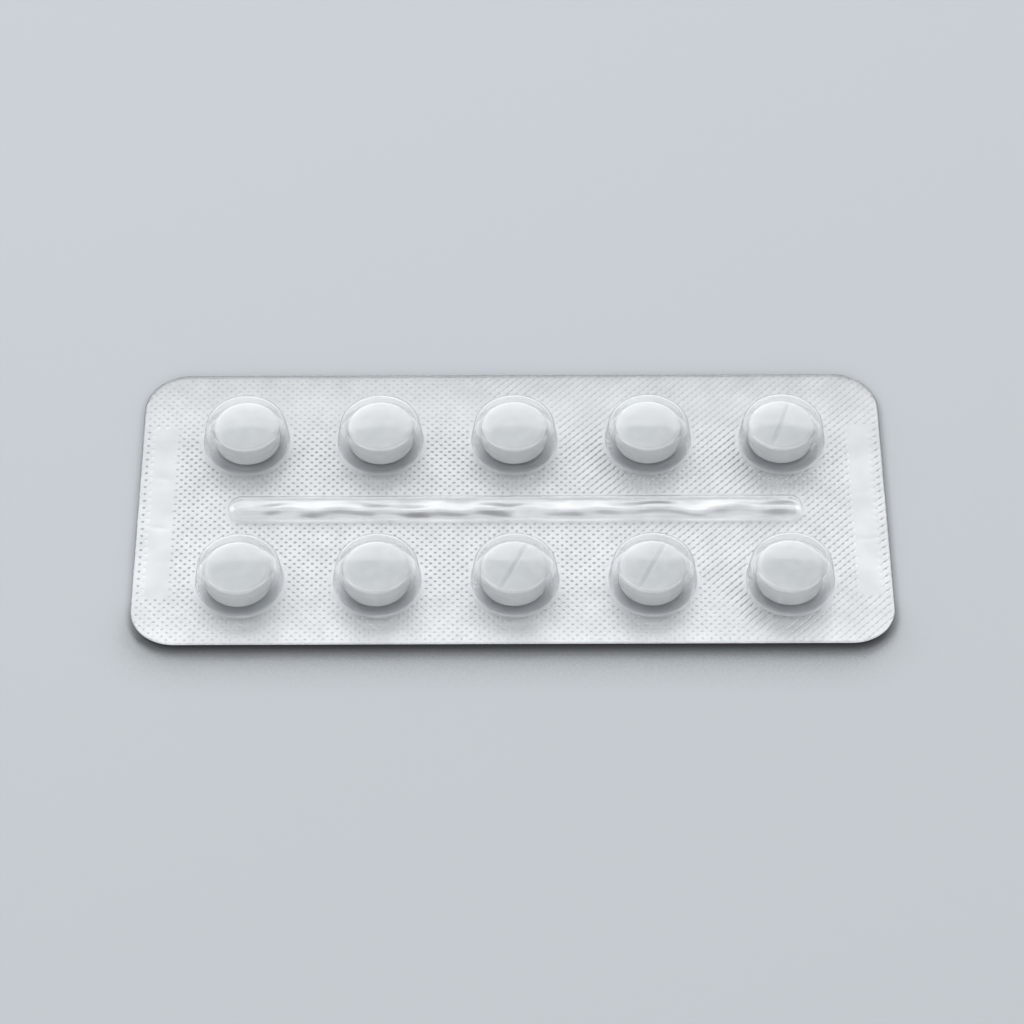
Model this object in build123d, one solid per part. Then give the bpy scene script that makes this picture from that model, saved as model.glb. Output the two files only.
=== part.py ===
from build123d import *
import os
from math import radians, sqrt, tan

# Pill blister pack: a clear formed film over a push-through foil, with ten loose tablets.
# Millimetres. X along the pack, Y across it, Z up. Origin in the middle of the outline, on the table.
# Tight bends are drawn as one sloping band, because ten pockets of true fillets are too many facets.

# Outline of the pack
pack_length = 92.0
pack_width = 42.4
corner_r = 5.5
curl_r = 60.0         # the long margins curl up with this radius, measured at the seal
curl_land = 0.75      # flat width left outside the pockets before the margins curl

# Sheets
film_t = 0.25
formed_t = 0.18       # the film thins where it is drawn into a pocket or the rib
foil_t = 0.03

# Layout: the forming is a little out of register with the cut outline
columns = 5
rows = 2
column_pitch = 16.67
row_pitch = 22.1
pattern_x = 0.3
pattern_y = -0.5

# Tablets
tablet_d = 8.0
tablet_h = 3.15
bevel_w = 0.46
bevel_h = 0.32
score_w = 0.62
score_depth = 0.32

# Pockets
pocket_room = 0.82    # between the tablet's side and the pocket's inner wall
pocket_headroom = 0.75
pocket_bend = 0.63    # leg of the sloping band round the roof

# Foil bellied out under each tablet
dish_depth = 0.38
dish_slope_w = 0.75

# Rib between the rows
rib_straight = 67.3   # between the centres of its round ends
rib_inner_w = 2.3
rib_height = 0.95     # inside, above the seal
rib_draft = 16.0
rib_bend = 0.4

# Smooth coding strips at the two ends
strip_l = 27.0
strip_w = 3.2
strip_rise = 0.06
strip_inset = 1.2     # from the pack's end to the strip

# How each tablet has settled: along, across, turn of its score line, score line up
settled = [
    (0.10, 0.34, 40, False),
    (0.05, 0.34, -25, False),
    (0.00, 0.34, 80, False),
    (-0.05, 0.34, 10, False),
    (-0.15, 0.34, 70, True),
    (-0.12, 0.18, -60, False),
    (-0.08, 0.18, 30, False),
    (-0.10, 0.18, 64, True),
    (-0.08, 0.18, 64, True),
    (-0.12, 0.18, -10, False),
]

# Levels, and sizes worked out from the ones above
seal_z = dish_depth + foil_t
film_top_z = seal_z + film_t
tablet_r = tablet_d / 2
pocket_r = tablet_r + pocket_room
pocket_height = foil_t + tablet_h + pocket_headroom - seal_z
foot_land = 0.2       # flat ring that joins a formed cup to the sheet round it
reach = 1.0           # how far cutting solids run past what they cut


def foot_r(inner_r, height, bend, draft=0):
    """Radius where the outside of a cup meets the top of the film."""
    wall = height + formed_t - bend - film_t
    return inner_r + formed_t + wall * tan(radians(draft))


flat_half_w = (
    abs(pattern_y)
    + row_pitch * (rows - 1) / 2
    + foot_r(pocket_r, pocket_height, pocket_bend)
    + curl_land
)


def outer_section(inner_r, height, bend, draft=0):
    """Half section of the outside of a formed cup, from its axis out, with the seal at height 0."""
    roof = height + formed_t
    wall_r = inner_r + formed_t
    foot = foot_r(inner_r, height, bend, draft)
    run_out = foot + foot_land
    return make_face(Polyline(
        (0, 0), (run_out, 0), (run_out, film_t), (foot, film_t),
        (wall_r, roof - bend), (wall_r - bend, roof), (0, roof), (0, 0),
    ))


def inner_section(inner_r, height, bend):
    """Half section of the air inside, run on below the seal so that it cuts clean through."""
    inner_bend = bend - formed_t * (2 - sqrt(2))
    return make_face(Polyline(
        (0, -reach), (inner_r, -reach), (inner_r, height - inner_bend),
        (inner_r - inner_bend, height), (0, height), (0, -reach),
    ))


def pocket_solids():
    """The outside of a pocket and the air inside it, both about the Z axis."""
    outside = outer_section(pocket_r, pocket_height, pocket_bend)
    inside = inner_section(pocket_r, pocket_height, pocket_bend)
    return [revolve(Plane.XZ * section, Axis.Z) for section in (outside, inside)]


def rib_solids():
    """The same for the rib: one section drawn out along X between two half-round ends."""
    outside = outer_section(rib_inner_w / 2, rib_height, rib_bend, rib_draft)
    inside = inner_section(rib_inner_w / 2, rib_height, rib_bend)
    solids = []
    for section in (outside, inside):
        half = Plane.YZ * section
        end = Pos(-rib_straight / 2) * revolve(half, Axis.Z, 180)
        side = extrude(half, rib_straight / 2, both=True)
        solids.append(end + Rot(Z=180) * end + side + Rot(Z=180) * side)
    return solids


def sheet_band(below, above):
    """A sheet between two depths from the seal: flat in the middle, curled up at the long margins."""
    ring = Circle(curl_r + below) - Circle(curl_r - above)
    corner = Pos(curl_r, -curl_r) * Rectangle(2 * curl_r, 2 * curl_r)
    margin = Pos(flat_half_w, seal_z + curl_r) * (ring & corner)
    flat = Pos(0, seal_z + (above - below) / 2) * Rectangle(2 * flat_half_w, below + above)
    band = extrude(Plane.YZ * (flat + margin + mirror(margin, Plane.YZ)), pack_length, both=True)
    outline = extrude(RectangleRounded(pack_length, pack_width, corner_r), 2 * curl_r)
    return band & outline


def pocket_places():
    """Pocket centres, back row first, each row from left to right."""
    for row in range(rows):
        for column in range(columns):
            along = pattern_x + (column - (columns - 1) / 2) * column_pitch
            across = pattern_y + ((rows - 1) / 2 - row) * row_pitch
            yield along, across


def coding_strips():
    pad = extrude(Rectangle(strip_w, strip_l), film_t / 2 + strip_rise)
    strip_x = pack_length / 2 - strip_inset - strip_w / 2
    return [Pos(side * strip_x, pattern_y, film_top_z - film_t / 2) * pad for side in (-1, 1)]


def formed_film():
    pocket_outside, pocket_air = pocket_solids()
    rib_outside, rib_air = rib_solids()
    rib_place = Pos(pattern_x, pattern_y, seal_z)
    film = sheet_band(0, film_t)
    film += [Pos(x, y, seal_z) * pocket_outside for x, y in pocket_places()]
    film += rib_place * rib_outside
    film += coding_strips()
    film -= [Pos(x, y, seal_z) * pocket_air for x, y in pocket_places()]
    film -= rib_place * rib_air
    return film


def foil_dish():
    """The bellied foil under one pocket, and the plug of flat foil whose place it takes."""
    floor_r = pocket_r - dish_slope_w
    dish = revolve(Plane.XZ * make_face(Polyline(
        (0, 0), (floor_r, 0), (pocket_r, dish_depth),
        (pocket_r, seal_z), (floor_r, foil_t), (0, foil_t), (0, 0),
    )), Axis.Z)
    plug = Pos(0, 0, dish_depth - reach) * extrude(Circle(pocket_r), foil_t + 2 * reach)
    return dish, plug


def lidding_foil():
    dish, plug = foil_dish()
    foil = sheet_band(foil_t, 0)
    foil -= [Pos(x, y) * plug for x, y in pocket_places()]
    foil += [Pos(x, y) * dish for x, y in pocket_places()]
    return foil


def tablet():
    """Flat-faced tablet, bevelled round both faces, with a V score line across its upper face."""
    face_r = tablet_r - bevel_w
    body = revolve(Plane.XZ * make_face(Polyline(
        (0, 0), (face_r, 0), (tablet_r, bevel_h), (tablet_r, tablet_h - bevel_h),
        (face_r, tablet_h), (0, tablet_h), (0, 0),
    )), Axis.Z)
    spread = 1 + reach / score_depth    # the V runs on above the face with the same slope
    edge = score_w / 2 * spread
    top = tablet_h + reach
    bottom = tablet_h - score_depth
    groove = make_face(Polyline((0, bottom), (edge, top), (-edge, top), (0, bottom)))
    return body - extrude(Plane.YZ * groove, tablet_d, both=True)


def settled_tablets():
    plain = tablet()
    for (x, y), (along, across, turn, score_up) in zip(pocket_places(), settled):
        laid = plain if score_up else Pos(0, 0, tablet_h) * Rot(X=180) * plain
        yield Pos(x + along, y + across, foil_t) * Rot(Z=turn) * laid


os.makedirs("parts", exist_ok=True)
export_step(formed_film(), "parts/formed_film.step")
export_step(lidding_foil(), "parts/lidding_foil.step")
for number, placed in enumerate(settled_tablets(), 1):
    export_step(placed, f"parts/tablet_{number:02d}.step")
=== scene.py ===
import math

import bmesh
import bpy
import numpy as np
from mathutils import Matrix, Vector, noise
from mathutils.geometry import delaunay_2d_cdt


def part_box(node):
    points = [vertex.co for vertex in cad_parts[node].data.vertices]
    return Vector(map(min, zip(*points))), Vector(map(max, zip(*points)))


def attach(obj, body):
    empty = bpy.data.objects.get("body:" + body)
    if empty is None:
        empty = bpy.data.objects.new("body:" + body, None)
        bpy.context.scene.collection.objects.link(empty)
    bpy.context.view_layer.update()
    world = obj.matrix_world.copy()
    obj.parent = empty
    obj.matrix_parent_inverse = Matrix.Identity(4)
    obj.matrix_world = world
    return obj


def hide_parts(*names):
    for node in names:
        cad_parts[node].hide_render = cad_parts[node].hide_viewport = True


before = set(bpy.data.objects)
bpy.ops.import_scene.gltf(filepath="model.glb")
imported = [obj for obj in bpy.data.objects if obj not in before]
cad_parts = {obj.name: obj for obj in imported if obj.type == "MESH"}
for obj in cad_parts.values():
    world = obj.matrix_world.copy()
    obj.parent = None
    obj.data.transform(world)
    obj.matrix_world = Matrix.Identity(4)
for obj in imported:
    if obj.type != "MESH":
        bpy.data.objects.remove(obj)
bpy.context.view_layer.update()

# Pill blister pack. Lengths are in millimetres here, and each mesh is turned into metres as it is made.
mm = 0.001

# The CAD part's outline and layout
film_low, film_high = (np.array(corner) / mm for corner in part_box("formed_film"))
pack_length, pack_width = (film_high - film_low)[:2]
corner_r = 5.5
columns = 5
column_pitch = 16.67
row_pitch = 22.1
pattern_x = 0.3
pattern_y = -0.5
flat_half_w = 17.0    # the sheets are flat to here, and curl up from here to the long edges
curl_r = 60.0

# Levels above the table
foil_t = 0.03
film_t = 0.25
dish_depth = 0.38
seal_z = dish_depth + foil_t
film_z = seal_z + film_t
film_gap = 0.006      # hairline between the film and the foil, where they are sealed

# Pocket, as heights above the film's flat
pocket_top = 3.36
pocket_crown = 0.14   # further rise to the middle of the roof
pocket_foot_r = 5.36
pocket_top_r = 4.90
pocket_foot_bend = 0.24
pocket_shoulder = 0.85
pocket_wall = 0.18
ring_r = 5.62         # smooth ring that the sealing tool leaves round a pocket
around = 96           # points round a pocket

# Rib between the rows
rib_half_l = 33.65
rib_foot = 1.72
rib_foot_bend = 0.18
rib_top_half = 1.42
rib_height = 0.95
rib_bend = 0.8
rib_waver = 0.03
rib_smooth = 1.95     # half width of the strip with no knurl

# Smooth coding strips
strip_l = 27.0
strip_w = 3.2
strip_inset = 1.2
strip_rise = 0.06
strip_wave = 0.012
strip_crease = [    # end of the pack, place across it, depth
    (-1, 9.0, 0.012), (-1, 4.6, 0.02), (-1, -3.2, 0.04), (-1, -8.4, 0.012),
    (1, 10.4, 0.012), (1, 2.2, 0.016), (1, -5.2, 0.035),
]
crease_w = 0.3
crease_lean = 0.1
crease_shift = 4.3    # brings a leaning crease back to its place in the middle of the strip

# Knurl pressed in by the sealing tool: a square lattice of dimples on the diagonal
knurl_per_mm = 0.905
foil_dimple = 0.10
film_dimple = 0.025
ring_slip_y = 0.3     # the smooth ring lies a little behind its pocket
light_press = 0.4     # how much less the tool pressed at the long edges
merge_slope = 0.9     # toward the back right the dimples run together into grooves
merge_from = 4.0
merge_to = 24.0
groove_share = 0.4    # merged this far, a dimple is drawn as part of a groove

# Loose foil under the rib
fold_height = 0.26
fold_half_w = 0.8
fold_wander = 1.1
small_fold = 0.16
loose_drop = 0.09

# Foil bellied out under a tablet
dish_edge_r = 5.4
dish_floor_r = 3.9
dish_crease = 0.015

# Tablets
face_r = 3.54
bevel_h = 0.34
bevel_bend = 0.22
side_bend = 0.10
score_half_w = 0.40
score_depth = 0.40
score_soft = 0.05     # rounding at the bottom of the score
score_near = 0.6      # closer than this to a score, the points lie in lines along it
rim_inset = 0.4       # the face is filled from this far inside its edge
tablet_around = 128
scored = {"tablet_05": 70.0, "tablet_08": 64.0, "tablet_09": 64.0}


def smoothstep(low, high, value):
    share = np.clip((value - low) / (high - low), 0.0, 1.0)
    return share * share * (3 - 2 * share)


def curl(y):
    """Rise of the long margins above the flat."""
    over = np.maximum(np.abs(y) - flat_half_w, 0.0)
    return curl_r - np.sqrt(curl_r**2 - over**2)


def waviness(x, y, scale, seed):
    """Smooth noise between about -1 and 1 at each point, the same on every run."""
    points = np.stack([x / scale, y / scale, np.full_like(x, seed)], 1)
    return np.array([noise.noise(Vector(point)) for point in points.tolist()])


pocket_centres = [
    (pattern_x + (column - (columns - 1) / 2) * column_pitch, pattern_y + side * row_pitch / 2)
    for side in (1, -1)
    for column in range(columns)
]
rib_centre = (pattern_x + 0.1, pattern_y + 0.1)


# Loops and point patterns in plan

def circle(x, y, radius, count=around):
    turn = np.arange(count) / count * 2 * math.pi
    return np.stack([x + radius * np.cos(turn), y + radius * np.sin(turn)], 1)


def pack_outline(step=0.4):
    """Rounded rectangle, anticlockwise."""
    half = np.array([pack_length, pack_width]) / 2 - corner_r
    bend = int(corner_r * math.pi / 2 / step)
    points = []
    for x_side, y_side, start in ((1, 1, 0.0), (-1, 1, 0.5), (-1, -1, 1.0), (1, -1, 1.5)):
        turn = (start + np.linspace(0, 0.5, bend)) * math.pi
        middle = half * (x_side, y_side)
        points.append(middle + corner_r * np.stack([np.cos(turn), np.sin(turn)], 1))
    joined = []
    for corner, following in zip(points, points[1:] + points[:1]):
        run = following[0] - corner[-1]
        count = int(np.linalg.norm(run) / step)
        inner = corner[-1] + run * (np.arange(1, count) / count)[:, None]
        joined += [corner, inner]
    return np.concatenate(joined)


def stadium(offset, straight=150, end=20):
    """Loop at a distance from the rib's middle line, with the same number of points at any distance."""
    along = np.linspace(-rib_half_l, rib_half_l, straight)
    turn = np.linspace(-0.5, 0.5, end + 2)[1:-1] * math.pi
    front = np.stack([along, np.full(straight, -offset)], 1)
    right = np.stack([rib_half_l + offset * np.cos(turn), offset * np.sin(turn)], 1)
    loop = np.concatenate([front, right, -front, -right])
    return loop + rib_centre


def outside_distance(points):
    """Distance from the outline (negative inside), for a rounded rectangle."""
    corner = np.abs(points) - (np.array([pack_length, pack_width]) / 2 - corner_r)
    reach = np.linalg.norm(np.maximum(corner, 0), axis=1) + np.minimum(corner.max(1), 0)
    return reach - corner_r


def pocket_distance(points):
    gaps = [np.linalg.norm(points - centre, axis=1) for centre in pocket_centres]
    return np.min(gaps, axis=0)


def rib_distance(points):
    offset = np.abs(points - rib_centre)
    return np.hypot(np.maximum(offset[:, 0] - rib_half_l, 0), offset[:, 1])


def strip_depth(points):
    """How far inside a coding strip a point lies, in millimetres. Negative outside."""
    middle = pack_length / 2 - strip_inset - strip_w / 2
    offset_x = np.abs(np.abs(points[:, 0]) - middle)
    offset_y = np.abs(points[:, 1] - pattern_y)
    return np.minimum(strip_w / 2 - offset_x, strip_l / 2 - offset_y)


def knurl_mask(points):
    """1 where the tool pressed its knurl, 0 round the pockets, along the rib and in the strips."""
    mask = smoothstep(ring_r - 0.1, ring_r + 0.3, pocket_distance(points - (0, ring_slip_y)))
    mask *= smoothstep(rib_smooth, rib_smooth + 0.35, rib_distance(points))
    mask *= smoothstep(-0.1, -0.3, outside_distance(points))
    mask *= 1 - light_press * smoothstep(8, 17, np.abs(points[:, 1]))
    return mask * smoothstep(0.3, -0.4, strip_depth(points))


def knurl_points(pattern, grooved):
    """Points of the dimple lattice over the whole pack, with the depth of each from 0 to 1.

    Where the dimples run together into slanting grooves, they have a pattern of their own."""
    reach = int(knurl_per_mm * (pack_length + pack_width) / 2) + 2
    u, v = (axis.ravel() for axis in np.meshgrid(np.arange(-reach, reach), np.arange(-reach, reach)))
    middles = np.stack([u + v, u - v], 1) / (2 * knurl_per_mm)
    pressed = knurl_mask(middles)
    merged = smoothstep(merge_from, merge_to, middles[:, 0] + merge_slope * middles[:, 1])
    points = []
    depths = []
    for chosen, offsets in ((merged < groove_share, pattern), (merged >= groove_share, grooved)):
        for offset_x, offset_y, dimple, groove in offsets:
            depth = pressed * (dimple + (groove - dimple) * merged)
            points.append((middles + (offset_x, offset_y))[chosen])
            depths.append(depth[chosen])
    points = np.concatenate(points)
    depths = np.concatenate(depths)
    inside = outside_distance(points) < -0.12
    return points[inside], depths[inside]


# Points of one dimple: along x and y from its middle, depth as a dimple, depth as part of a groove
fine_dimple = [
    (0.08, -0.07, 1, 0.8), (-0.08, -0.07, 1, 0.8), (0, 0.06, 0.5, 0.5),
    (0, 0.2, 0, 0), (0.19, 0.11, 0, 0.6), (-0.19, 0.11, 0, 0), (0.25, -0.04, 0, 0), (-0.25, -0.04, 0, 0),
    (0, -0.18, 0, 0), (0.15, -0.15, 0, 0), (-0.17, -0.16, 0, 0.6), (0, 0.27, 0, 0),
]
# The same where the dimples run together, placed along and across their groove
fine_groove = [
    (along + 0.71 * across, along - 0.71 * across, dimple * deep, groove * deep)
    for along, dimple, groove in ((-0.13, 0.8, 0.9), (0.0, 1.0, 1.0), (0.13, 0.7, 0.9), (0.28, 0.0, 0.45))
    for across, deep in ((-0.2, 0.0), (0.05, 1.8), (0.14, 0.0))
]
plain_dimple = [
    (0, 0, 1, 1),
    (0.24, 0.14, 0, 0), (-0.24, -0.14, 0, 0), (-0.24, 0.14, 0, 0), (0.24, -0.14, 0, 0),
]
coarse_dimple = [(0, 0, 1, 1), (0.276, 0.276, 0, 0), (0.276, -0.276, 0, 0)]


def grid_points(step_x, step_y):
    x, y = np.meshgrid(
        np.arange(-pack_length / 2, pack_length / 2, step_x) + step_x / 2,
        np.arange(-pack_width / 2, pack_width / 2, step_y) + step_y / 2,
    )
    points = np.stack([x.ravel(), y.ravel()], 1)
    return points[outside_distance(points) < -0.3]


# Section curves

def rounded(corners, bends, steps):
    """A line through corners, each inner corner replaced by an arc of its bend radius."""
    corners = [np.array(corner, float) for corner in corners]
    line = [corners[0]]
    for before, corner, after, bend, count in zip(corners, corners[1:], corners[2:], bends, steps):
        back = (before - corner) / np.linalg.norm(before - corner)
        ahead = (after - corner) / np.linalg.norm(after - corner)
        half = math.acos(np.clip(back @ ahead, -1, 1)) / 2
        run = bend / math.tan(half)
        middle = corner + (back + ahead) / np.linalg.norm(back + ahead) * bend / math.sin(half)
        start = corner + back * run - middle
        end = corner + ahead * run - middle
        sweep = math.atan2(start[0] * end[1] - start[1] * end[0], start @ end)
        for share in np.linspace(0, 1, count):
            cos, sin = math.cos(sweep * share), math.sin(sweep * share)
            line.append(middle + (start[0] * cos - start[1] * sin, start[0] * sin + start[1] * cos))
    line.append(corners[-1])
    return np.array(line)


def divided(line, longest):
    """The same line with its long runs divided."""
    points = [line[0]]
    for start, end in zip(line, line[1:]):
        count = max(1, math.ceil(np.linalg.norm(end - start) / longest))
        points += [start + (end - start) * step / count for step in range(1, count + 1)]
    return np.array(points)


def pocket_section(inner):
    """(radius, height) from the smooth ring to the middle of the roof."""
    drop = film_t - film_gap if inner else 0.0
    wall = pocket_wall if inner else 0.0
    foot = pocket_foot_r - wall
    side = pocket_top_r - wall
    roof = pocket_top - wall
    line = rounded(
        [(ring_r, -drop), (foot, -drop), (side, roof), (0, roof)],
        [pocket_foot_bend + wall, pocket_shoulder - wall],
        [6, 8],
    )
    line = divided(line, 0.8)
    share = np.clip(line[:, 0] / (pocket_top_r - pocket_shoulder), 0, 1)
    on_roof = line[:, 1] > roof - 0.01
    line[:, 1] += np.where(on_roof, pocket_crown * (1 - share**2) ** 1.5, 0)
    return line + (0, film_z)


def rib_section(inner):
    """(distance from the rib's middle line, height) from the flat film to the top of the rib."""
    drop = film_t - film_gap if inner else 0.0
    wall = pocket_wall if inner else 0.0
    foot = rib_foot - wall
    side = rib_top_half - wall
    top = rib_height - wall
    line = rounded(
        [(rib_smooth, -drop), (foot, -drop), (side, top), (0, top)],
        [rib_foot_bend + wall / 2, rib_bend - wall / 2],
        [5, 7],
    )
    return divided(line, 0.3) + (0, film_z)


# Mesh making

class Shell:
    """Collects the points and faces of one closed sheet."""

    def __init__(self):
        self.points = []
        self.faces = []
        self.slots = []

    def add(self, xy, z):
        start = len(self.points)
        self.points += np.column_stack([xy, z]).tolist()
        return np.arange(start, start + len(xy))

    def band(self, outer, inner, up):
        """Quads between two loops with as many points."""
        for a, b, c, d in zip(outer, np.roll(outer, -1), np.roll(inner, -1), inner):
            self.faces.append((a, b, c, d) if up else (d, c, b, a))

    def fan(self, loop, tip, up):
        for a, b in zip(loop, np.roll(loop, -1)):
            self.faces.append((a, b, tip) if up else (b, a, tip))

    def fill(self, loops, loop_rows, xy, z, up, keep):
        """Triangles between the loops, through the given inner points."""
        rows = np.concatenate(loop_rows + [self.add(xy, z)])
        flat = np.concatenate(loops + [xy])
        edges = []
        start = 0
        for loop in loops:
            count = len(loop)
            edges += [(start + at, start + (at + 1) % count) for at in range(count)]
            start += count
        made = delaunay_2d_cdt([Vector(point) for point in flat.tolist()], edges, [], 0, 1e-7)
        triangles = np.array([face for face in made[2] if len(face) == 3])
        middles = flat[triangles].mean(1)
        for a, b, c in rows[triangles[keep(middles)]]:
            self.faces.append((a, b, c) if up else (c, b, a))

    def paint(self, slot):
        """Gives a material slot to the faces that have none yet."""
        self.slots += [slot] * (len(self.faces) - len(self.slots))

    def object(self, name, faceted=None, second=None):
        """The mesh as a Blender object. Two tests of the faces' middles pick the flat shaded faces and
        the ones of the second material. The faces of the cut edge are always flat shaded."""
        mesh = bpy.data.meshes.new(name)
        mesh.from_pydata([[value * mm for value in point] for point in self.points], [], self.faces)
        if self.slots:
            mesh.polygons.foreach_set("material_index", self.slots)
        made = bmesh.new()
        made.from_mesh(mesh)
        bmesh.ops.remove_doubles(made, verts=made.verts, dist=1e-3 * mm)
        bmesh.ops.dissolve_degenerate(made, dist=1e-4 * mm, edges=made.edges)
        made.faces.ensure_lookup_table()
        middles = np.array([face.calc_center_median()[:2] for face in made.faces]) / mm
        rim = outside_distance(middles) > -0.01
        for face, at_rim in zip(made.faces, rim.tolist()):
            face.smooth = not at_rim
        if faceted is not None:
            for at in np.flatnonzero(faceted(middles)).tolist():
                made.faces[at].smooth = False
        if second is not None:
            for at in np.flatnonzero(second(middles)).tolist():
                made.faces[at].material_index = 1
        made.to_mesh(mesh)
        made.free()
        piece = bpy.data.objects.new(name, mesh)
        bpy.context.scene.collection.objects.link(piece)
        return piece


def rib_ripple(ring, level):
    """The rib's top wavers a little along its length."""
    share = smoothstep(film_z + 0.3, film_z + rib_height, level)
    return level + share * rib_waver * waviness(ring[:, 0], ring[:, 1] * 1.6, 3.2, 6.0)


def as_drawn(ring, level, radius):
    return level


def pocket_rings(centre, section, follow):
    """The loops of a pocket or a dish with their heights, from the smooth ring to a single point."""
    for radius, level in section:
        ring = circle(*centre, radius, around if radius > 1e-6 else 1)
        yield ring, follow(ring, level, radius)


def rib_rings(section):
    for offset, level in section:
        ring = stadium(max(offset, 0.0))
        yield ring, rib_ripple(ring, level)


def sheet_side(shell, outline, height, section, rib, xy, z, up, follow=as_drawn):
    """One face of a sheet: its flat filled, its pockets and rib built up from their sections."""
    outline_row = shell.add(outline, height(outline))
    loops = [outline]
    rows = [outline_row]
    forms = [pocket_rings(centre, section, follow) for centre in pocket_centres]
    if rib is not None:
        forms.append(rib_rings(rib))
    for form in forms:
        before = None
        for ring, level in form:
            row = shell.add(ring, np.broadcast_to(level, (len(ring),)))
            if before is None:
                loops.append(ring)
                rows.append(row)
            elif len(row) == 1:
                shell.fan(before, row[0], up)
            else:
                shell.band(before, row, up)
            before = row

    def keep(middles):
        kept = outside_distance(middles) < 0
        kept &= pocket_distance(middles) > ring_r * math.cos(math.pi / around)
        if rib is not None:
            kept &= rib_distance(middles) > rib_smooth - 1e-4
        return kept

    shell.fill(loops, rows, xy, z, up, keep)
    return outline_row


def off_the_loops(points, rib_gap):
    """True for points that keep clear of the pockets' rings and of the rib."""
    return (pocket_distance(points) > ring_r + 0.06) & (rib_distance(points) > rib_gap)


# Formed film

def film_top_height(points):
    return film_z + curl(points[:, 1]) + strip_rise * smoothstep(-0.5, 0.7, strip_depth(points))


def film_under_height(points):
    return seal_z + film_gap + curl(points[:, 1])


def formed_film():
    shell = Shell()
    outline = pack_outline()
    xy, depth = knurl_points(plain_dimple, plain_dimple)
    clear = off_the_loops(xy, rib_smooth + 0.1) & (strip_depth(xy) < -0.8)
    strips = grid_points(0.3, 0.9)
    strips = strips[strip_depth(strips) > -0.7]
    xy = np.concatenate([xy[clear], strips])
    depth = np.concatenate([depth[clear], np.zeros(len(strips))])
    z = film_top_height(xy) - film_dimple * depth
    pocket, rib = pocket_section(inner=False), rib_section(inner=False)
    top = sheet_side(shell, outline, film_top_height, pocket, rib, xy, z, True)
    shell.paint(0)

    xy = grid_points(2.0, 0.7)
    xy = xy[off_the_loops(xy, rib_smooth + 0.2)]
    z = film_under_height(xy)
    pocket, rib = pocket_section(inner=True), rib_section(inner=True)
    bottom = sheet_side(shell, outline, film_under_height, pocket, rib, xy, z, False)
    shell.paint(1)

    shell.band(bottom, top, True)
    shell.paint(2)
    return shell.object("film")


# Lidding foil

def crinkle(points):
    """Unsealed foil under the rib: it drops at the edges and stands up in long soft folds."""
    inside = rib_foot - rib_distance(points)
    x, y = points.T
    crest = rib_centre[1] + fold_wander * waviness(x, np.zeros_like(x), 5.0, 3.0)
    swell = 1 + 1.2 * waviness(x, y, 5.0, 12.0)
    fold = fold_height * np.exp(-((y - crest) / fold_half_w) ** 2) * swell
    small = small_fold * waviness(x * 0.35 + 0.3 * y, y * 0.5, 1.2, 8.0)
    return (fold + small) * smoothstep(0.1, 0.9, inside) - loose_drop * smoothstep(-0.06, 0.12, inside)


def strip_creases(points):
    """Faint waves and a few shallow creases that cross the smooth strips."""
    inside = smoothstep(0.0, 1.2, strip_depth(points))
    x, y = points.T
    depth = strip_wave * waviness(x * 0.1, y, 3.2, 23.0)
    for side, at, deep in strip_crease:
        near = np.exp(-((y - at - crease_lean * side * x + crease_shift) / crease_w) ** 2)
        depth -= deep * near * (x * side > 0)
    return inside * depth


def foil_top_height(points):
    return seal_z + curl(points[:, 1]) + strip_creases(points)


def dish_section(level, floor):
    """(radius, height) of the foil bellied out under a tablet."""
    radii = [ring_r, *np.linspace(5.45, 4.1, 10), dish_floor_r, 2.0, 0.0]
    shares = [float(smoothstep(dish_edge_r, dish_floor_r, radius)) for radius in radii]
    return [(radius, level + (floor - level) * share) for radius, share in zip(radii, shares)]


def crinkled_ring(ring, level, radius):
    """Slight creases down the slope of the dish."""
    depth = dish_crease * float(smoothstep(5.6, 5.2, radius) * smoothstep(4.25, 4.6, radius))
    return level + depth * waviness(ring[:, 0], ring[:, 1], 0.9, 5.0)


def is_loose(points):
    """Under the pockets and the rib the foil keeps its own shine."""
    return (rib_distance(points) < rib_foot) | (pocket_distance(points) < pocket_foot_r)


def foil_side(shell, outline, lift, patterns, step, up):
    """The foil's upper or lower face."""
    def height(points):
        return foil_top_height(points) + lift

    dish = dish_section(seal_z + lift, foil_t + lift)
    xy, depth = knurl_points(*patterns)
    clear = off_the_loops(xy, rib_smooth) & (strip_depth(xy) < 0.3)
    xy, depth = xy[clear], depth[clear]
    z = height(xy) - foil_dimple * depth
    inner = grid_points(step, step)
    inner = inner[(rib_distance(inner) < rib_smooth - 0.02) | (strip_depth(inner) > 0.4)]
    rib_edge = [stadium(rib_foot + offset) for offset in (0.06, -0.06, -0.16)]
    inner = np.concatenate([inner, *rib_edge])
    folds = height(inner) + crinkle(inner)
    xy = np.concatenate([xy, inner])
    z = np.concatenate([z, folds])
    return sheet_side(shell, outline, height, dish, None, xy, z, up, crinkled_ring)


def lidding_foil():
    shell = Shell()
    outline = pack_outline()
    top = foil_side(shell, outline, 0.0, (fine_dimple, fine_groove), 0.26, True)
    bottom = foil_side(shell, outline, -foil_t, (coarse_dimple, coarse_dimple), 0.4, False)
    shell.band(bottom, top, True)
    return shell.object("foil", lambda middles: knurl_mask(middles) > 0.1, is_loose)


# Tablets

def tablet_section(radius, low, high):
    """(radius, height) from the middle of the face, over both bevels, to the middle of the underside."""
    upper = [(0, high), (face_r, high), (radius, high - bevel_h)]
    lower = [(radius, low + bevel_h), (face_r, low), (0, low)]
    bends = [bevel_bend, side_bend, side_bend, bevel_bend]
    return divided(rounded(upper + lower, bends, [4] * 4), 0.55)


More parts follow.
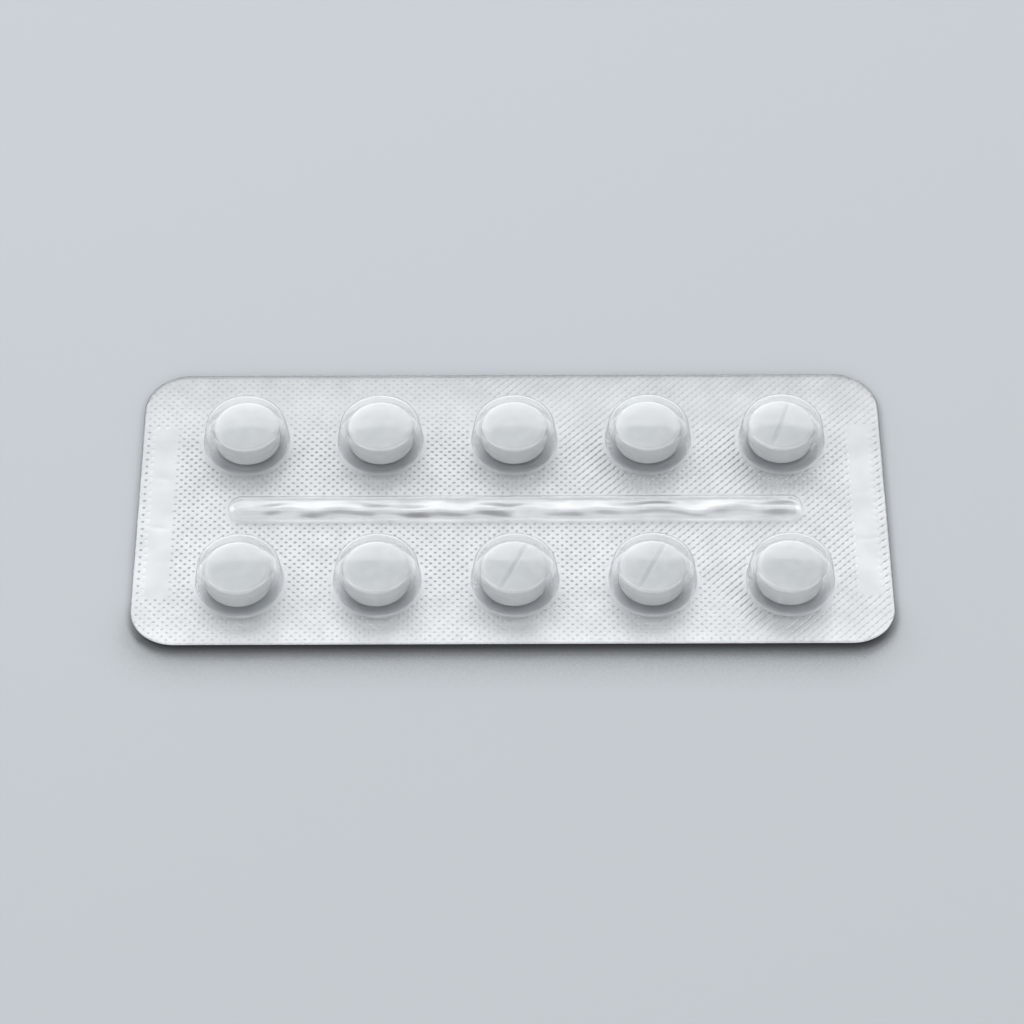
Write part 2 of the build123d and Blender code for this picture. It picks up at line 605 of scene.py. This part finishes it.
def score_cut(points, turn, high):
    """Height of a V groove across the face. Above the face away from the groove."""
    across = np.abs(points @ np.array([-math.sin(turn), math.cos(turn)]))
    soft = np.sqrt(across**2 + score_soft**2)
    return high - score_depth * (1 - soft / score_half_w)


def face_points(rim_r, turn, is_scored):
    """Points over a tablet's face, in lines along the score where there is one."""
    steps = np.arange(-3.4, 3.5, 0.4)
    points = np.stack(np.meshgrid(steps, steps), -1).reshape(-1, 2)
    if is_scored:
        along, across = np.meshgrid(np.linspace(-1, 1, 44) * rim_r, np.arange(-6, 7) * 0.08)
        lines = np.stack([along.ravel(), across.ravel()], 1)
        points = np.concatenate([points[np.abs(points[:, 1]) > score_near], lines])
    points = points[np.linalg.norm(points, axis=1) < rim_r - 0.1]
    spin = np.array([[math.cos(turn), math.sin(turn)], [-math.sin(turn), math.cos(turn)]])
    return points @ spin


def tablet(node):
    low, high = (np.array(corner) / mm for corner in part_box(node))
    centre = ((low + high) / 2)[:2]
    turn = math.radians(scored.get(node, 0.0))
    is_scored = node in scored

    def cut(points, level):
        """The level at each point, or the score where that is deeper."""
        z = np.full(len(points), level)
        return np.minimum(z, score_cut(points, turn, high[2])) if is_scored else z

    shell = Shell()
    section = tablet_section((high - low)[0] / 2, low[2], high[2])
    first = np.flatnonzero(section[:, 0] > face_r - rim_inset)[0]
    rim_r = section[first, 0]
    rows = []
    for reach, level in section[first:-1]:
        ring = circle(0, 0, reach, tablet_around)
        rows.append(shell.add(ring + centre, cut(ring, level)))
    for outer, inner in zip(rows[1:], rows):
        shell.band(outer, inner, True)
    rim = circle(*centre, rim_r, tablet_around)
    face = face_points(rim_r, turn, is_scored)
    shell.fill([rim], [rows[0]], face + centre, cut(face, high[2]), True,
               lambda middles: np.linalg.norm(middles - centre, axis=1) < rim_r)
    tip = shell.add(np.array([centre]), np.array([low[2]]))
    shell.fan(rows[-1], tip[0], False)
    return shell.object(node + "_pressed")


# Materials

def new_material(name):
    """An empty material, and its node tree."""
    material = bpy.data.materials.new(name)
    material.use_nodes = True
    material.node_tree.nodes.clear()
    return material, material.node_tree


def finished(material, tree, surface):
    add_node(tree, "OutputMaterial", {"Surface": surface})
    return material


def feed(tree, socket, value):
    """Links a socket to another one, or sets it to a plain value."""
    if isinstance(value, bpy.types.NodeSocket):
        tree.links.new(value, socket)
    else:
        socket.default_value = value


def add_node(tree, kind, values, **settings):
    """A node of one kind, with its settings made and its inputs fed by name or number."""
    node = tree.nodes.new("ShaderNode" + kind)
    for setting, value in settings.items():
        setattr(node, setting, value)
    for name, value in values.items():
        feed(tree, node.inputs[name], value)
    return node


def object_place(tree):
    return add_node(tree, "TexCoord", {}).outputs["Object"]


def split_place(tree, place):
    return add_node(tree, "SeparateXYZ", {"Vector": place}).outputs


def noise_share(tree, place, scale, detail=3.0, stretch=(1, 1, 1)):
    """Noise whose grain is about 1 / scale millimetres."""
    mapping = add_node(tree, "Mapping", {"Vector": place, "Scale": [part / mm for part in stretch]})
    vector = mapping.outputs["Vector"]
    return add_node(tree, "TexNoise", {"Vector": vector, "Scale": scale, "Detail": detail}).outputs["Fac"]


def ramp(tree, source, low, high, start=0.35, end=0.65):
    """Colours from low to high as the source goes from start to end."""
    node = add_node(tree, "ValToRGB", {"Fac": source})
    for element, at, colour in zip(node.color_ramp.elements, (start, end), (low, high)):
        element.position = at
        element.color = (*colour, 1)
    return node.outputs["Color"]


def spread(tree, source, low, high, start=0.3, end=0.7):
    """Numbers from low to high as the source goes from start to end."""
    values = {"Value": source, "From Min": start, "From Max": end, "To Min": low, "To Max": high}
    return add_node(tree, "MapRange", values).outputs["Result"]


def bump(tree, source, depth):
    """Bump whose full height is depth millimetres."""
    values = {"Strength": 1.0, "Distance": depth * mm, "Height": source}
    return add_node(tree, "Bump", values).outputs["Normal"]


def calculate(tree, operation, first, second):
    return add_node(tree, "Math", {0: first, 1: second}, operation=operation).outputs[0]


def multiply_colours(tree, share, first, second):
    values = {"Factor": share, "A": first, "B": second}
    return add_node(tree, "Mix", values, data_type="RGBA", blend_type="MULTIPLY").outputs["Result"]


def mix_shaders(tree, share, first, second):
    return add_node(tree, "MixShader", {"Fac": share, 1: first, 2: second}).outputs["Shader"]


def bsdf(tree, kind, values):
    return add_node(tree, "Bsdf" + kind, values).outputs["BSDF"]


def tablet_material():
    material, tree = new_material("pressed_tablet")
    place = object_place(tree)
    cloud = noise_share(tree, place, 0.7, 2.0)
    grain = noise_share(tree, place, 9.0, 4.0)
    return finished(material, tree, bsdf(tree, "Principled", {
        "Base Color": ramp(tree, cloud, (0.77, 0.79, 0.805), (0.82, 0.84, 0.855)),
        "Roughness": spread(tree, grain, 0.5, 0.7),
        "Specular IOR Level": 0.35,
        "Subsurface Weight": 0.35,
        "Subsurface Scale": 2.4 * mm,
        "Subsurface Radius": (1.0, 1.0, 0.9),
        "Normal": bump(tree, grain, 0.035),
    }))


def foil_material(name, rough_low, rough_high, line_depth):
    """Aluminium with fine rolling lines, and painted shade that darkens its colour a little toward the
    back edge.
    """
    material, tree = new_material(name)
    place = object_place(tree)
    rolling = noise_share(tree, place, 1.0, 3.0, stretch=(7.0, 0.35, 1.0))
    cloud = noise_share(tree, place, 0.25, 3.0)
    colour = ramp(tree, cloud, (0.70, 0.715, 0.73), (0.77, 0.785, 0.80))
    toward_back = spread(tree, split_place(tree, place)["Y"], 0.0, 1.0, -6.0 * mm, 18.0 * mm)
    # Painted shade: the foil's colour darkens a little toward the back edge
    painted_back_shade = ramp(tree, toward_back, (1, 1, 1), (0.88, 0.88, 0.88), 0.0, 1.0)
    return finished(material, tree, bsdf(tree, "Principled", {
        "Base Color": multiply_colours(tree, 1.0, colour, painted_back_shade),
        "Metallic": 1.0,
        "Roughness": spread(tree, rolling, rough_low, rough_high),
        "Normal": bump(tree, rolling, line_depth),
    }))


def film_edge_material():
    """Cut edge of the film: frosted from outside, and a dark line where it is looked through."""
    material, tree = new_material("clear_film_edge")
    grain = noise_share(tree, object_place(tree), 3.0, 3.0)
    frosted = ramp(tree, grain, (0.72, 0.74, 0.76), (0.90, 0.92, 0.93))
    smoky = ramp(tree, grain, (0.34, 0.37, 0.40), (0.42, 0.45, 0.48))
    from_inside = add_node(tree, "NewGeometry", {}).outputs["Backfacing"]
    frost = bsdf(tree, "Translucent", {"Color": frosted})
    clear = bsdf(tree, "Transparent", {"Color": smoky})
    return finished(material, tree, mix_shaders(tree, from_inside, frost, clear))


def film_inner_material():
    """The film's inner face adds no gloss of its own."""
    material, tree = new_material("clear_film_inside")
    cloud = noise_share(tree, object_place(tree), 0.5, 3.0)
    tint = ramp(tree, cloud, (0.985, 0.988, 0.99), (0.995, 0.997, 1.0))
    return finished(material, tree, bsdf(tree, "Transparent", {"Color": tint}))


def film_gloss(tree, haze, height):
    """The film's reflection, dull where the sealing tool pressed the film flat."""
    pressed = spread(tree, height, 0.3, 0.0, (film_z + 0.2) * mm, (film_z + 0.45) * mm)
    fine = spread(tree, haze, 0.05, 0.11)
    rough = calculate(tree, "ADD", fine, pressed)
    return bsdf(tree, "Glossy", {"Roughness": rough, "Normal": bump(tree, haze, 0.006)})


def film_gloss_share(tree, from_inside):
    """Both faces' reflection together, with a limit at a low angle, on the outer side only."""
    fresnel = add_node(tree, "Fresnel", {"IOR": 1.53}).outputs["Fac"]
    doubled = calculate(tree, "MULTIPLY", fresnel, 2.0)
    limited = calculate(tree, "MINIMUM", doubled, 0.55)
    outside = calculate(tree, "SUBTRACT", 1.0, from_inside)
    return calculate(tree, "MULTIPLY", limited, outside)


def film_veil(tree, haze):
    """The haze of stretched film."""
    milky = ramp(tree, haze, (0.93, 0.945, 0.96), (0.97, 0.98, 0.99))
    lit = bsdf(tree, "Diffuse", {"Color": milky})
    glow = bsdf(tree, "Translucent", {"Color": milky})
    return mix_shaders(tree, 0.25, lit, glow)


def film_veil_share(tree, facing, height, from_inside):
    """The haze lies round the shoulder of a pocket, and is stronger on the far wall, seen from inside."""
    near_wall = spread(tree, height, 0.0, 0.6, (film_z + 2.4) * mm, (film_z + 3.1) * mm)
    far_wall = spread(tree, height, 0.0, 1.0, (film_z + 0.4) * mm, (film_z + 1.4) * mm)
    wall = add_node(tree, "Mix", {"Factor": from_inside, "A": near_wall, "B": far_wall}).outputs["Result"]
    slant = spread(tree, facing, 0.0, 0.85, 0.24, 0.42)
    grazing = spread(tree, facing, 1.0, 0.1, 0.62, 0.74)
    raised = calculate(tree, "MULTIPLY", wall, grazing)
    return calculate(tree, "MULTIPLY", raised, slant)


def film_material():
    """Thin clear film. Light goes straight through, and the outer face carries the gloss of both."""
    material, tree = new_material("clear_film")
    place = object_place(tree)
    height = split_place(tree, place)["Z"]
    haze = noise_share(tree, place, 0.5, 3.0)
    from_inside = add_node(tree, "NewGeometry", {}).outputs["Backfacing"]
    facing = add_node(tree, "LayerWeight", {"Blend": 0.5}).outputs["Facing"]
    tint = ramp(tree, facing, (0.98, 0.983, 0.985), (0.42, 0.48, 0.54), 0.6, 1.0)
    clear = bsdf(tree, "Transparent", {"Color": tint})
    veil_share = film_veil_share(tree, facing, height, from_inside)
    veiled = mix_shaders(tree, veil_share, clear, film_veil(tree, haze))
    gloss_share = film_gloss_share(tree, from_inside)
    return finished(material, tree, mix_shaders(tree, gloss_share, veiled, film_gloss(tree, haze, height)))


def openness(tree, toward=None):
    """1 on open floor, and less where something lies within a few millimetres."""
    values = {"Distance": 7.0 * mm}
    if toward is not None:
        values["Normal"] = toward
    return add_node(tree, "AmbientOcclusion", values, samples=8).outputs["AO"]


def floor_material():
    """Pale floor with a painted contact shadow: its colour darkens under the pack's edge."""
    material, tree = new_material("studio_floor")
    # Painted shade: the floor's colour darkens where the pack lies within a few millimetres
    painted_contact_shade = ramp(tree, openness(tree), (0.46, 0.483, 0.506), (0.535, 0.567, 0.596), 0.3, 0.85)

    # Painted shadow: the light comes from behind, so the shadow is painted leaning toward the camera, in
    # front of the pack only
    toward_back = add_node(tree, "CombineXYZ", {"Y": 0.94, "Z": 0.34}).outputs["Vector"]
    painted_leaning_shadow = ramp(tree, openness(tree, toward_back), (0.28, 0.28, 0.28), (1, 1, 1), 0.80, 0.895)
    place = add_node(tree, "NewGeometry", {}).outputs["Position"]
    in_front = spread(tree, split_place(tree, place)["Y"], 0.0, 1.0, -14.0 * mm, -20.0 * mm)
    return finished(material, tree, bsdf(tree, "Principled", {
        "Base Color": multiply_colours(tree, in_front, painted_contact_shade, painted_leaning_shadow),
        "Roughness": 0.9,
        "Specular IOR Level": 0.1,
    }))


# Camera, lights and floor

def aim(thing, at, target):
    direction = Vector(target) - Vector(at)
    thing.location = at
    thing.rotation_euler = direction.to_track_quat("-Z", "Y").to_euler()


def add_camera():
    elevation = math.radians(51.0)
    yaw = math.radians(0.236)
    distance = 451.7
    sensor_w = 36.0
    picture_w = 1024
    focal_pixels = 3678.8
    turn = Matrix.Rotation(-yaw, 4, "Z")
    away = Vector((0, -math.cos(elevation), math.sin(elevation))) * distance
    pivot = Vector((-0.025, -1.03, 0))
    up = Vector((0, 0, film_z))
    at = turn @ (pivot + away) + up
    look = turn @ pivot + up
    data = bpy.data.cameras.new("camera")
    data.lens = focal_pixels / picture_w * sensor_w
    data.sensor_width = sensor_w
    data.clip_start = 0.01
    data.clip_end = 50.0
    camera = bpy.data.objects.new("camera", data)
    bpy.context.scene.collection.objects.link(camera)
    aim(camera, at * mm, look * mm)
    bpy.context.scene.camera = camera


def add_softbox(name, azimuth, elevation, distance, width, height, radiance, mirrored=True):
    """A rectangular soft light, in metres and degrees. Azimuth 0 is behind the pack."""
    data = bpy.data.lights.new(name, "AREA")
    data.shape = "RECTANGLE"
    data.size = width
    data.size_y = height
    data.energy = radiance * width * height * math.pi
    light = bpy.data.objects.new(name, data)
    light.visible_glossy = mirrored
    bpy.context.scene.collection.objects.link(light)
    level = math.cos(math.radians(elevation)) * distance
    at = (
        math.sin(math.radians(azimuth)) * level,
        math.cos(math.radians(azimuth)) * level,
        math.sin(math.radians(elevation)) * distance,
    )
    aim(light, at, (0, 0, 0))


def add_world():
    world = bpy.data.worlds.new("studio")
    world.use_nodes = True
    background = world.node_tree.nodes["Background"]
    background.inputs["Color"].default_value = (0.97, 0.99, 1.0, 1)
    background.inputs["Strength"].default_value = 0.32
    bpy.context.scene.world = world


def add_floor():
    half = 6.0        # metres
    hairline = 0.02   # the pack's low spots don't share a plane with the floor
    corners = [(-half, -half, 0), (half, -half, 0), (half, half, 0), (-half, half, 0)]
    mesh = bpy.data.meshes.new("floor")
    mesh.from_pydata(corners, [], [(0, 1, 2, 3)])
    floor = bpy.data.objects.new("floor", mesh)
    bpy.context.scene.collection.objects.link(floor)
    floor.location.z = -hairline * mm
    mesh.materials.append(floor_material())


def place(piece, node, slot, *materials):
    for material in materials:
        piece.data.materials.append(material)
    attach(piece, "root")
    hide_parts(node)


add_camera()
add_softbox("key", 0, 27, 1.2, 2.2, 1.09, 1.35)
add_softbox("upper_key", 0, 70, 0.4, 0.8, 0.09, 1.5)
add_softbox("side_left", -72, 30, 1.4, 1.2, 1.2, 1.2)
add_softbox("side_right", 72, 30, 1.4, 1.2, 1.2, 0.75)
add_softbox("soft_key", -50, 42, 1.2, 0.8, 0.5, 1.8, mirrored=False)
add_softbox("fill", 180, 30, 1.2, 1.4, 0.8, 1.6, mirrored=False)
add_world()
add_floor()

place(formed_film(), "formed_film", "clear_film",
      film_material(), film_inner_material(), film_edge_material())
place(lidding_foil(), "lidding_foil", "lidding_foil",
      foil_material("lidding_foil", 0.38, 0.50, 0.004),
      foil_material("lidding_foil_loose", 0.34, 0.40, 0.001))
white = tablet_material()
for node in sorted(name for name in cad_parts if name.startswith("tablet")):
    place(tablet(node), node, "tablet", white)

bpy.context.scene.view_settings.view_transform = "Standard"
